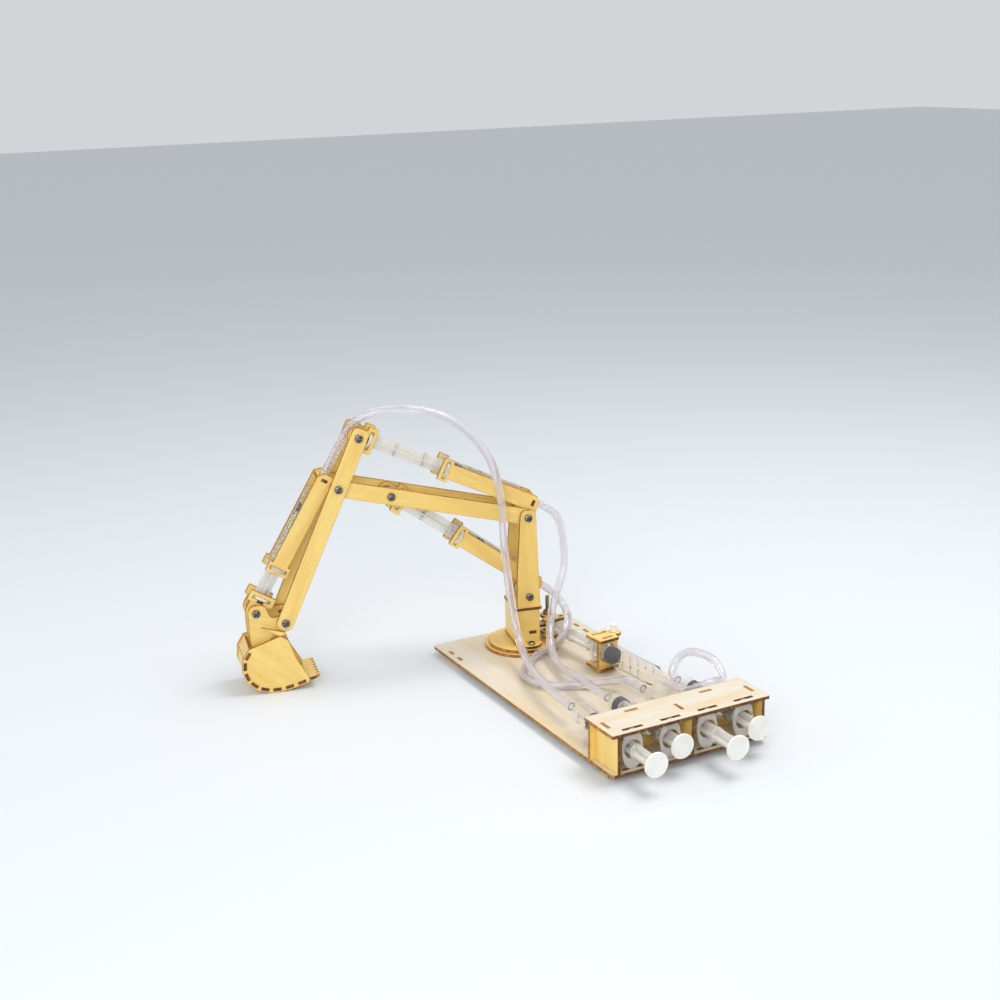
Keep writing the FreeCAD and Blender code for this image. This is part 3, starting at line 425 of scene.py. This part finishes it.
def add_lathe(bm, profile, segments=48):
    """Adds a surface of revolution about X; the profile is (x, radius), closed where the radius is 0."""
    rings = []
    for x, radius in profile:
        if radius < 1e-7:
            rings.append([bm.verts.new((x, 0, 0))])
            continue
        turns = [2 * math.pi * i / segments for i in range(segments)]
        rings.append([bm.verts.new((x, radius * math.cos(t), radius * math.sin(t))) for t in turns])
    for a, b in zip(rings, rings[1:]):
        for i in range(segments):
            j = (i + 1) % segments
            corners = [a[i % len(a)], a[j % len(a)], b[j % len(b)], b[i % len(b)]]
            corners = list(dict.fromkeys(corners))
            if len(corners) > 2:
                bm.faces.new(corners)


def add_prism(bm, outline, x0, x1, bevel=0.0):
    """Adds an outline in Y and Z, extruded along X."""
    a = [bm.verts.new((x0, y, z)) for y, z in outline]
    b = [bm.verts.new((x1, y, z)) for y, z in outline]
    ends = [bm.faces.new(a), bm.faces.new(list(reversed(b)))]
    sides = [bm.faces.new((a[i], a[i - 1], b[i - 1], b[i])) for i in range(len(outline))]
    if bevel > 0:
        edges = {edge for face in ends + sides for edge in face.edges}
        bmesh.ops.bevel(bm, geom=list(edges), offset=bevel, segments=2, affect="EDGES")


def rounded_profile(points, radius, steps=4):
    """The profile with its inner corners rounded by short arcs."""
    result = [points[0]]
    for before, corner, after in zip(points, points[1:], points[2:]):
        p, c, n = (Vector(q) for q in (before, corner, after))
        reach = min(radius, (p - c).length * 0.45, (n - c).length * 0.45)
        start, end = c + (p - c).normalized() * reach, c + (n - c).normalized() * reach
        for i in range(steps + 1):
            t = i / steps
            result.append(tuple(start * (1 - t) ** 2 + c * 2 * t * (1 - t) + end * t ** 2))
    return result + [points[-1]]


# ---------------------------------------------------------------- syringes
BARREL, NOZZLE, END_WALL = 58.0 * MM, 10.5 * MM, 1.2 * MM
OUTER, BORE = 6.7 * MM, 5.9 * MM
FLANGE_LONG, FLANGE_SHORT, FLANGE_HALF = 13.0 * MM, 7.2 * MM, 0.95 * MM
ROD_LENGTH, ROD_HALF, ROD_WEB = 69.7 * MM, 4.8 * MM, 0.7 * MM
SEAL, SEAL_RADIUS, THUMB_RADIUS = 6.0 * MM, 5.85 * MM, 7.75 * MM
# from a cylinder's pivot: along the barrel to its flange, and sideways to its axis
CAGE_REACH, CAGE_LUG = 66.4 * MM, 10.0 * MM
SWING_REACH = 3.2 * MM


def basis(x, y, z, origin):
    matrix = Matrix((x, y, z)).transposed().to_4x4()
    matrix.translation = origin
    return matrix


def syringe_frames():
    """For each syringe: its frame, with X to the plunger and its origin in the flange, and its two bodies."""
    frames = {}
    for name in CYLINDERS:
        tilt = JOINTS[name + "_cylinder_tilt"]
        along = Vector(JOINTS[name + "_rod_slide"]["axis"]).normalized()
        hinge = Vector(tilt["axis"]).normalized()
        left = hinge.cross(along).normalized()
        reach = SWING_REACH if name == "swing" else CAGE_REACH
        flange = Vector(tilt["pos_m"]) + along * reach + left * CAGE_LUG
        if name != "swing":
            flange -= hinge * flange.dot(hinge)
        frames[name] = (basis(along, left, along.cross(left), flange), name + "_cylinder", name + "_rod")
    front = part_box("control_barrels")[1].x - MM
    for name in CYLINDERS:
        rod_low, rod_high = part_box("control_plunger_" + name)
        centre = (rod_low + rod_high) / 2
        flange = Vector((front, centre.y, centre.z))
        matrix = basis(Vector((1, 0, 0)), Vector((0, 1, 0)), UP, flange)
        frames["control_" + name] = (matrix, "base", name + "_control")
    return frames


def draw_out(node, matrix):
    """How far the thumb disc of this plunger stands from the flange."""
    inverse = matrix.inverted()
    return max((inverse @ vertex.co).x for vertex in frame["nodes"][node].data.vertices)


def barrel_piece(name, matrix, material, frosted):
    """A clear barrel with its shoulder, tapered nozzle and oval finger flange, hollow inside."""
    shell = rounded_profile([(MM, BORE), (-BARREL + END_WALL, BORE), (-BARREL + END_WALL, 1.2 * MM),
                             (-BARREL - NOZZLE, 1.0 * MM), (-BARREL - NOZZLE, 1.95 * MM), (-BARREL, 2.1 * MM),
                             (-BARREL, OUTER), (-FLANGE_HALF, OUTER)], 0.5 * MM)
    bm = bmesh.new()
    add_lathe(bm, shell, 56)
    obj = mesh_object(name, bm, material, matrix)
    bm = bmesh.new()
    half, hole = FLANGE_HALF, BORE * 1.001
    outline = [(-half, 0.97), (-half * 0.6, 1.0), (half * 0.6, 1.0), (half, 0.97)]
    sizes = [(x, FLANGE_SHORT * share, FLANGE_LONG * share) for x, share in outline]
    segments = 64
    rings = []
    for x, across, along in [(-half, hole, hole)] + sizes + [(half, hole, hole)]:
        turns = [2 * math.pi * i / segments for i in range(segments)]
        rings.append([bm.verts.new((x, across * math.cos(t), along * math.sin(t))) for t in turns])
    for a, b in zip(rings, rings[1:]):
        bridge(bm, a, b)
    flange = mesh_object(name + "_flange", bm, frosted, matrix)
    return [obj, flange]


def plunger_piece(name, matrix, stroke, materials):
    """Cross-shaped rod with its gussets and ridged thumb disc, and the black seal on its front."""
    front = stroke - ROD_LENGTH + SEAL
    width, web = ROD_HALF, ROD_WEB
    cross = [(-web, -width), (web, -width), (web, -web), (width, -web), (width, web), (web, web),
             (web, width), (-web, width), (-web, web), (-width, web), (-width, -web), (-web, -web)]
    bm = bmesh.new()
    add_prism(bm, cross, front + 0.4 * MM, stroke - 1.2 * MM, 0.15 * MM)
    rod = mesh_object(name + "_rod", bm, materials["milky"], matrix)
    bm = bmesh.new()
    disc, back = THUMB_RADIUS, stroke - 1.8 * MM
    profile = rounded_profile([(back, 0), (back, disc), (stroke, disc), (stroke, disc * 0.93)], 0.5 * MM)
    ridges, steps = 6, 4
    for i in range(ridges * steps):
        radius = disc * 0.90 * (1 - i / (ridges * steps))
        dip = 0.30 * MM * (0.5 - 0.5 * math.cos(2 * math.pi * i / steps))
        profile.append((stroke - 0.12 * MM - dip, radius))
    profile.append((stroke - 0.12 * MM, 0))
    add_lathe(bm, profile, 64)
    thumb = mesh_object(name + "_thumb", bm, materials["thumb"], matrix, 30)
    bm = bmesh.new()
    for x in (front, front + 0.33 * (stroke - front), front + 0.66 * (stroke - front)):
        ring = [(x, 0), (x, width), (x + 1.0 * MM, width), (x + 1.0 * MM, 0)]
        add_lathe(bm, rounded_profile(ring, 0.2 * MM), 40)
    gussets = mesh_object(name + "_gussets", bm, materials["milky"], matrix)
    bm = bmesh.new()
    start, r = front - SEAL, SEAL_RADIUS
    ribs = [(start + 0.2 * MM, 0), (start + 1.0 * MM, r * 0.8), (start + 1.2 * MM, r), (start + 2.0 * MM, r),
            (start + 2.3 * MM, r * 0.9), (start + 4.0 * MM, r * 0.9), (start + 4.3 * MM, r),
            (start + 5.3 * MM, r), (start + 5.6 * MM, r * 0.9), (start + 5.9 * MM, r * 0.86),
            (start + 5.9 * MM, 0)]
    add_lathe(bm, rounded_profile(ribs, 0.2 * MM), 56)
    piston = mesh_object(name + "_piston", bm, materials["rubber"], matrix)
    return [rod, thumb, gussets, piston]


def around_barrel(x, height, turn):
    """A point on the barrel's outside, height millimetres round from the given turn."""
    angle = turn + height / OUTER
    radius = OUTER + 0.05 * MM
    return (x, radius * math.cos(angle), radius * math.sin(angle))


def add_mark(bm, x, width, low, high, turn):
    """A scale line laid round the barrel from low to high."""
    steps = 6
    heights = [low + (high - low) * k / steps for k in range(steps + 1)]
    for a, b in zip(heights, heights[1:]):
        spots = [(x, a), (x, b), (x + width, b), (x + width, a)]
        bm.faces.new([bm.verts.new(around_barrel(u, h, turn)) for u, h in spots])


def add_numeral(bm, text, x, low, size, turn):
    """A flat numeral laid on the barrel, its foot at low, reading along the barrel."""
    curve = bpy.data.curves.new("numeral", "FONT")
    curve.body = text
    curve.size = size
    letter = bpy.data.objects.new("numeral", curve)
    bpy.context.scene.collection.objects.link(letter)
    bpy.context.view_layer.update()
    mesh = bpy.data.meshes.new_from_object(letter)
    verts = [bm.verts.new(around_barrel(x + v.co.x, low + v.co.y, turn)) for v in mesh.vertices]
    for polygon in mesh.polygons:
        bm.faces.new([verts[i] for i in polygon.vertices])
    bpy.data.objects.remove(letter)


def scale_marks(name, matrix, material, first, divisions):
    """A plain graduated scale on both sides of a barrel: fine lines, longer ones and their numerals."""
    bm = bmesh.new()
    pitch = 2.0 * MM
    for turn in (0, math.pi):
        for i in range(divisions + 1):
            x = first + i * pitch
            long = i % 4 == 0
            add_mark(bm, x, (0.6 if long else 0.4) * MM, -3.6 * MM, (-0.6 if long else -1.9) * MM, turn)
            if long:
                add_numeral(bm, str(5 - i // 4), x - 1.0 * MM, 0.4 * MM, 4.2 * MM, turn)
    return mesh_object(name, bm, material, matrix)


# where a barrel's scale starts and how many divisions of it still show
FULL_SCALE = (-50.0 * MM, 20)
SCALES = {"bucket": (-46.0 * MM, 4), "stick": (-26.0 * MM, 4), "boom": (-46.0 * MM, 4)}


def make_syringes(materials):
    frames = syringe_frames()
    controls = []
    for name, (matrix, case_body, rod_body) in frames.items():
        control = name.startswith("control_")
        short = name.removeprefix("control_")
        case = barrel_piece(name + "_syringe", matrix, materials["clear"], materials["flange"])
        rod_node = "control_plunger_" + short if control else name + "_plunger"
        stroke = draw_out(rod_node, matrix)
        rod = plunger_piece(name + "_plunger_piece", matrix, stroke, materials)
        first, divisions = SCALES.get(name, FULL_SCALE)
        marks = scale_marks(name + "_marks", matrix, materials["ink"], first, divisions)
        for piece in case + [marks]:
            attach(piece, case_body)
        for piece in rod:
            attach(piece, rod_body)
        if control:
            controls += case
        else:
            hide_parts(name + "_barrel")
            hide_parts(name + "_seal")
        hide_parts(rod_node)
    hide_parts("control_barrels")


# ---------------------------------------------------------------- tubes
TUBE = 5.5 * MM
TUBE_BORE = 0.62 * TUBE
# in millimetres, from the cylinder's nozzle to its control's
ROUTES = {
    "bucket": [(-29.8, -132.2, 142.5), (-27.7, -122.8, 158.9), (-22.5, -110.0, 182.5),
               (-11.0, -75.5, 185.5), (0.0, -48.5, 176.0), (9.5, -28.0, 151.5),
               (14.5, -22.0, 121.0), (16.0, -22.5, 89.0), (19.0, -20.5, 58.0), (25.0, -18.0, 23.5),
               (54.5, -27.0, 16.5), (88.0, -36.0, 18.5), (114.3, -39.9, 18.2),
               (133.3, -39.9, 18.2)],
    "stick": [(1.7, 7.5, 111.0), (5.5, 24.2, 102.8), (5.5, 30.0, 87.0), (7.0, 31.5, 59.0),
              (14.0, 17.0, 39.5), (30.0, 4.0, 21.0), (48.0, -2.5, 11.0), (71.0, -7.5, 12.5),
              (99.0, -12.5, 18.2), (114.3, -13.3, 18.2), (133.3, -13.3, 18.2)],
    "boom": [(2.0, 8.9, 52.5), (4.8, 21.5, 43.1), (9.5, 24.5, 38.5), (24.0, 23.0, 33.0),
             (38.0, 14.5, 29.0), (36.5, 10.5, 20.5), (29.5, 7.5, 12.0), (29.0, -6.0, 9.5),
             (52.0, -31.5, 9.1), (71.5, -31.0, 9.1), (80.5, -23.5, 9.1), (90.5, -3.0, 9.1),
             (103.5, 14.0, 13.5), (117.3, 13.3, 18.2), (133.3, 13.3, 18.2)],
    "swing": [(132.0, 30.3, 19.4), (142.5, 31.3, 19.4), (156.0, 30.0, 21.0), (168.0, 33.5, 28.5),
              (169.0, 43.5, 30.0), (164.0, 53.0, 26.0), (157.0, 57.0, 29.0), (147.0, 57.0, 35.0),
              (133.0, 54.0, 35.0), (121.0, 52.5, 30.0), (118.5, 47.0, 23.5), (124.8, 40.4, 18.2),
              (133.3, 39.9, 18.2)],
}
# each tube's pieces: from and to, as shares of its length, and the two bodies at the piece's ends; a piece is
# attached only when both are the same body
SPANS = {
    "bucket": [(0.0, 0.24, "stick", "boom"), (0.24, 0.50, "boom", "turntable"),
               (0.50, 1.0, "turntable", "base")],
    "stick": [(0.0, 0.17, "stick_cylinder", "boom"), (0.17, 0.36, "boom", "turntable"),
              (0.36, 1.0, "turntable", "base")],
    "boom": [(0.0, 0.18, "boom_cylinder", "turntable"), (0.18, 0.36, "turntable", "base"),
             (0.36, 1.0, "base", "base")],
    "swing": [(0.0, 0.32, "swing_cylinder", "base"), (0.32, 1.0, "base", "base")],
}


def smooth_line(name):
    """Points along the route's own spline."""
    points = ROUTES[name]
    curve = bpy.data.curves.new("route_" + name, "CURVE")
    curve.dimensions = "3D"
    curve.resolution_u = 16
    spline = curve.splines.new("NURBS")
    spline.points.add(len(points) - 1)
    for point, place in zip(spline.points, points):
        point.co = (*(c * MM for c in place), 1)
    spline.order_u = 3
    spline.use_endpoint_u = True
    obj = bpy.data.objects.new("route_" + name, curve)
    bpy.context.scene.collection.objects.link(obj)
    bpy.context.view_layer.update()
    mesh = bpy.data.meshes.new_from_object(obj)
    line = [vertex.co.copy() for vertex in mesh.vertices]
    bpy.data.objects.remove(obj)
    return line


def tube_mesh(name, line, whole, start_index, material, capped):
    """A hollow tube along part of a line; the directions come from the whole line, so parts meet exactly."""
    bm = bmesh.new()
    rings = {"outer": [], "inner": []}
    side = None
    frames = []
    for i, point in enumerate(whole):
        ahead = (whole[min(i + 1, len(whole) - 1)] - whole[max(i - 1, 0)]).normalized()
        if side is None:
            side = ahead.orthogonal().normalized()
        side = (side - ahead * side.dot(ahead)).normalized()
        frames.append((point, side.copy(), ahead.cross(side)))
    count = 20
    for point, a, b in frames[start_index:start_index + len(line)]:
        for kind, radius in (("outer", TUBE / 2), ("inner", TUBE_BORE / 2)):
            turns = [2 * math.pi * k / count for k in range(count)]
            rings[kind].append([bm.verts.new(point + a * radius * math.cos(t) + b * radius * math.sin(t))
                                for t in turns])
    for kind in rings:
        for first, second in zip(rings[kind], rings[kind][1:]):
            bridge(bm, first, second)
    for end, index in zip(capped, (0, -1)):
        if end:
            bridge(bm, rings["outer"][index], rings["inner"][index])
    return mesh_object(name, bm, material, smooth_angle=60)


def path_length(line):
    return sum((b - a).length for a, b in zip(line, line[1:]))


def make_tubes(material):
    for name, spans in SPANS.items():
        whole = smooth_line(name)
        total = path_length(whole)
        travelled = [0.0]
        for a, b in zip(whole, whole[1:]):
            travelled.append(travelled[-1] + (b - a).length)
        for number, (low, high, first, second) in enumerate(spans):
            start = min(range(len(whole)), key=lambda i: abs(travelled[i] - low * total))
            stop = min(range(len(whole)), key=lambda i: abs(travelled[i] - high * total))
            line = whole[start:stop + 1]
            capped = (number == 0, number == len(spans) - 1)
            piece = tube_mesh(f"tube_{name}_{number}", line, whole, start, material, capped)
            if first == second:
                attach(piece, first)
            else:
                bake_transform(piece)
            if number == 0:
                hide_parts("tube_" + name)


# ---------------------------------------------------------------- fasteners
SHANK, HEAD = 1.42 * MM, 2.8 * MM
# from the elbow back to the horn's screw, and from the mast's top screw along the boom to its own
HORN, BOOM_BOLT = 36.5 * MM, 97.0 * MM
# how far each foot screw stands from the middle, and how far both stand behind it
FOOT_OUT, FOOT_BACK = 18.0 * MM, 1.0 * MM
# half the width over which each screw clamps
WIDE, NARROW = 13.8 * MM, 11.5 * MM


def bolt_head(bm, x, radius, height, direction):
    """A domed head at x, rising along direction * X, with a cross recess pressed into its top."""
    shares = [1.0, 1.0, 0.96, 0.88, 0.78, 0.66, 0.60, 0.54, 0.46, 0.38, 0.31, 0.25, 0.19, 0.12]
    rises = [0.0, 0.35, 0.62, 0.80, 0.91, 0.97, 0.985, 0.99, 1.0, 1.0, 1.0, 1.0, 1.0, 1.0]
    segments = 48
    rings = []
    for share, rise in zip(shares, rises):
        ring = []
        for i in range(segments):
            turn = 2 * math.pi * i / segments
            y, z = radius * share * math.cos(turn), radius * share * math.sin(turn)
            arm, side = max(abs(y), abs(z)) / radius, min(abs(y), abs(z)) / radius
            sunk = 0.62 if arm < 0.60 and side < 0.13 and share < 0.62 else 0.0
            ring.append(bm.verts.new((x + direction * height * (rise - sunk), y, z)))
        rings.append(ring)
    for a, b in zip(rings, rings[1:]):
        bridge(bm, a, b)
    bm.faces.new(rings[0])
    tip = bm.verts.new((x + direction * height * 0.38, 0, 0))
    for i in range(segments):
        bm.faces.new((rings[-1][i], rings[-1][(i + 1) % segments], tip))


def add_thread(bm, x0, x1, radius):
    """A screw's shank with ridges at the thread's pitch."""
    pitch = 0.5 * MM
    count = max(2, int((x1 - x0) / pitch))
    profile = [(x0, 0), (x0, radius * 0.86)]
    for i in range(count):
        x = x0 + (x1 - x0) * (i + 0.5) / count
        profile += [(x, radius), (x + (x1 - x0) / count * 0.5, radius * 0.84)]
    profile += [(x1, radius * 0.8), (x1, 0)]
    add_lathe(bm, profile, 20)


def add_nut(bm, x0, x1, width):
    """A hexagonal nut, as wide across its flats as given."""
    r = width / math.sqrt(3)
    outline = [(r * math.cos(math.pi / 3 * k), r * math.sin(math.pi / 3 * k)) for k in range(6)]
    add_prism(bm, outline, x0, x1, 0.25 * MM)


def screw_piece(name, place, direction, start, end, material, far="nut", head_height=1.9 * MM):
    """A screw along direction through place: its head outside start; outside end a nut, a head or nothing."""
    z = direction.normalized()
    x = z.orthogonal().normalized()
    matrix = basis(z, x, z.cross(x), place)
    bm = bmesh.new()
    bolt_head(bm, start, HEAD, head_height, -1)
    add_thread(bm, start, end + (3.9 * MM if far == "nut" else 0), SHANK)
    if far == "nut":
        add_nut(bm, end, end + 2.3 * MM, 5.5 * MM)
    elif far == "head":
        bolt_head(bm, end, HEAD, head_height, 1)
    return mesh_object(name, bm, material, matrix, 35)


def make_screws(dark):
    """The seven screws that the arm turns on."""
    hinge = Vector(JOINTS["boom_lift"]["axis"]).normalized()
    away = hinge if hinge.x < 0 else -hinge
    top, low = Vector(JOINTS["boom_lift"]["pos_m"]), Vector(JOINTS["boom_cylinder_tilt"]["pos_m"])
    elbow, wrist = Vector(JOINTS["stick_swing"]["pos_m"]), Vector(JOINTS["bucket_tilt"]["pos_m"])
    horn = elbow - (wrist - elbow).normalized() * HORN
    boom = top + (elbow - top).normalized() * BOOM_BOLT
    low_corner, high_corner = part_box("bucket_bolt")
    bucket = (low_corner + high_corner) / 2
    tall = 2.0 * MM
    rows = [("screw_mast_top", top, WIDE, "turntable", "mast_bolts", {}),
            ("screw_mast_low", low, WIDE, "turntable", "mast_bolts", {}),
            ("screw_boom", boom, NARROW, "boom", "boom_bolt", {"far": "head", "head_height": tall}),
            ("screw_elbow", elbow, WIDE, "stick", "stick_bolts", {}),
            ("screw_horn", horn, WIDE, "stick", "stick_bolts", {}),
            ("screw_wrist", wrist, WIDE, "stick", "stick_bolts", {"far": "head"}),
            ("screw_bucket", bucket, NARROW, "bucket", "bucket_bolt", {"far": "head", "head_height": tall})]
    done = set()
    for name, place, half, body, node, shape in rows:
        piece = screw_piece(name, place, away, -half, half, dark, **shape)
        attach(piece, body)
        if node not in done:
            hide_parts(node)
            done.add(node)


def make_foot_screws(dark):
    """The two screws that hold the mast's foot down on the disc."""
    arm = UP.cross(Vector(JOINTS["boom_lift"]["axis"])).normalized()
    if arm.y > 0:
        arm = -arm
    across = UP.cross(arm)
    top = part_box("mast_foot")[1].z
    for index, side in enumerate((1, -1)):
        place = across * side * FOOT_OUT - arm * FOOT_BACK + UP * top
        piece = screw_piece(f"screw_foot_{index}", place, -UP, 0, 4.0 * MM, dark, far="bare",
                            head_height=1.7 * MM)
        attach(piece, "turntable")


def make_crank_screw(brass):
    """The long screw that joins the swing clevis to the crank, with its nut part of the way up."""
    low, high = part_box("crank_pin")
    place = Vector(((low.x + high.x) / 2, (low.y + high.y) / 2, low.z))
    bm = bmesh.new()
    bolt_head(bm, 1.5 * MM, 2.55 * MM, 1.4 * MM, -1)
    add_thread(bm, 0.4 * MM, high.z - low.z, SHANK)
    add_nut(bm, 16.7 * MM, 19.0 * MM, 5.3 * MM)
    matrix = basis(UP, Vector((1, 0, 0)), Vector((0, 1, 0)), place)
    pin = mesh_object("crank_screw", bm, brass, matrix, 35)
    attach(pin, "turntable")
    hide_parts("crank_pin")


# ---------------------------------------------------------------- build
make_camera()
materials = {
    "clear": clear_plastic("clear_barrel", (0.985, 0.985, 0.98), 0.06, 0.96, 1.05, 0.25),
    "flange": clear_plastic("clear_flange", (0.97, 0.95, 0.92), 0.22, 0.65, 1.15, 0.4),
    "tube": clear_plastic("clear_tube", (0.97, 0.95, 0.98), 0.12, 0.86, 1.22, 0.6),
    "milky": milky_plastic("milky_rod", 0.5),
    "thumb": milky_plastic("milky_thumb", 0.1),
    "rubber": solid_material("black_rubber", (0.004, 0.004, 0.004), (0.010, 0.010, 0.010), 0.5),
    "screw": solid_material("dark_screw", (0.10, 0.095, 0.09), (0.34, 0.32, 0.30), 0.22, 1.0),
    "brass": solid_material("brass_screw", (0.28, 0.22, 0.09), (0.50, 0.42, 0.22), 0.33, 1.0),
    "ink": solid_material("scale_ink", (0.02, 0.02, 0.025), (0.05, 0.05, 0.06), 0.5),
    "nylon": solid_material("white_nylon", (0.80, 0.80, 0.79), (0.90, 0.90, 0.89), 0.4),
}
make_tubes(materials["tube"])
make_studio()
dress_plywood()
make_syringes(materials)
make_screws(materials["screw"])
make_foot_screws(materials["screw"])
make_crank_screw(materials["brass"])
for node, key in (("swing_pivot_pin", "nylon"), ("turntable_bolt", "screw")):
    frame["nodes"][node].data.materials.clear()
    frame["nodes"][node].data.materials.append(materials[key])
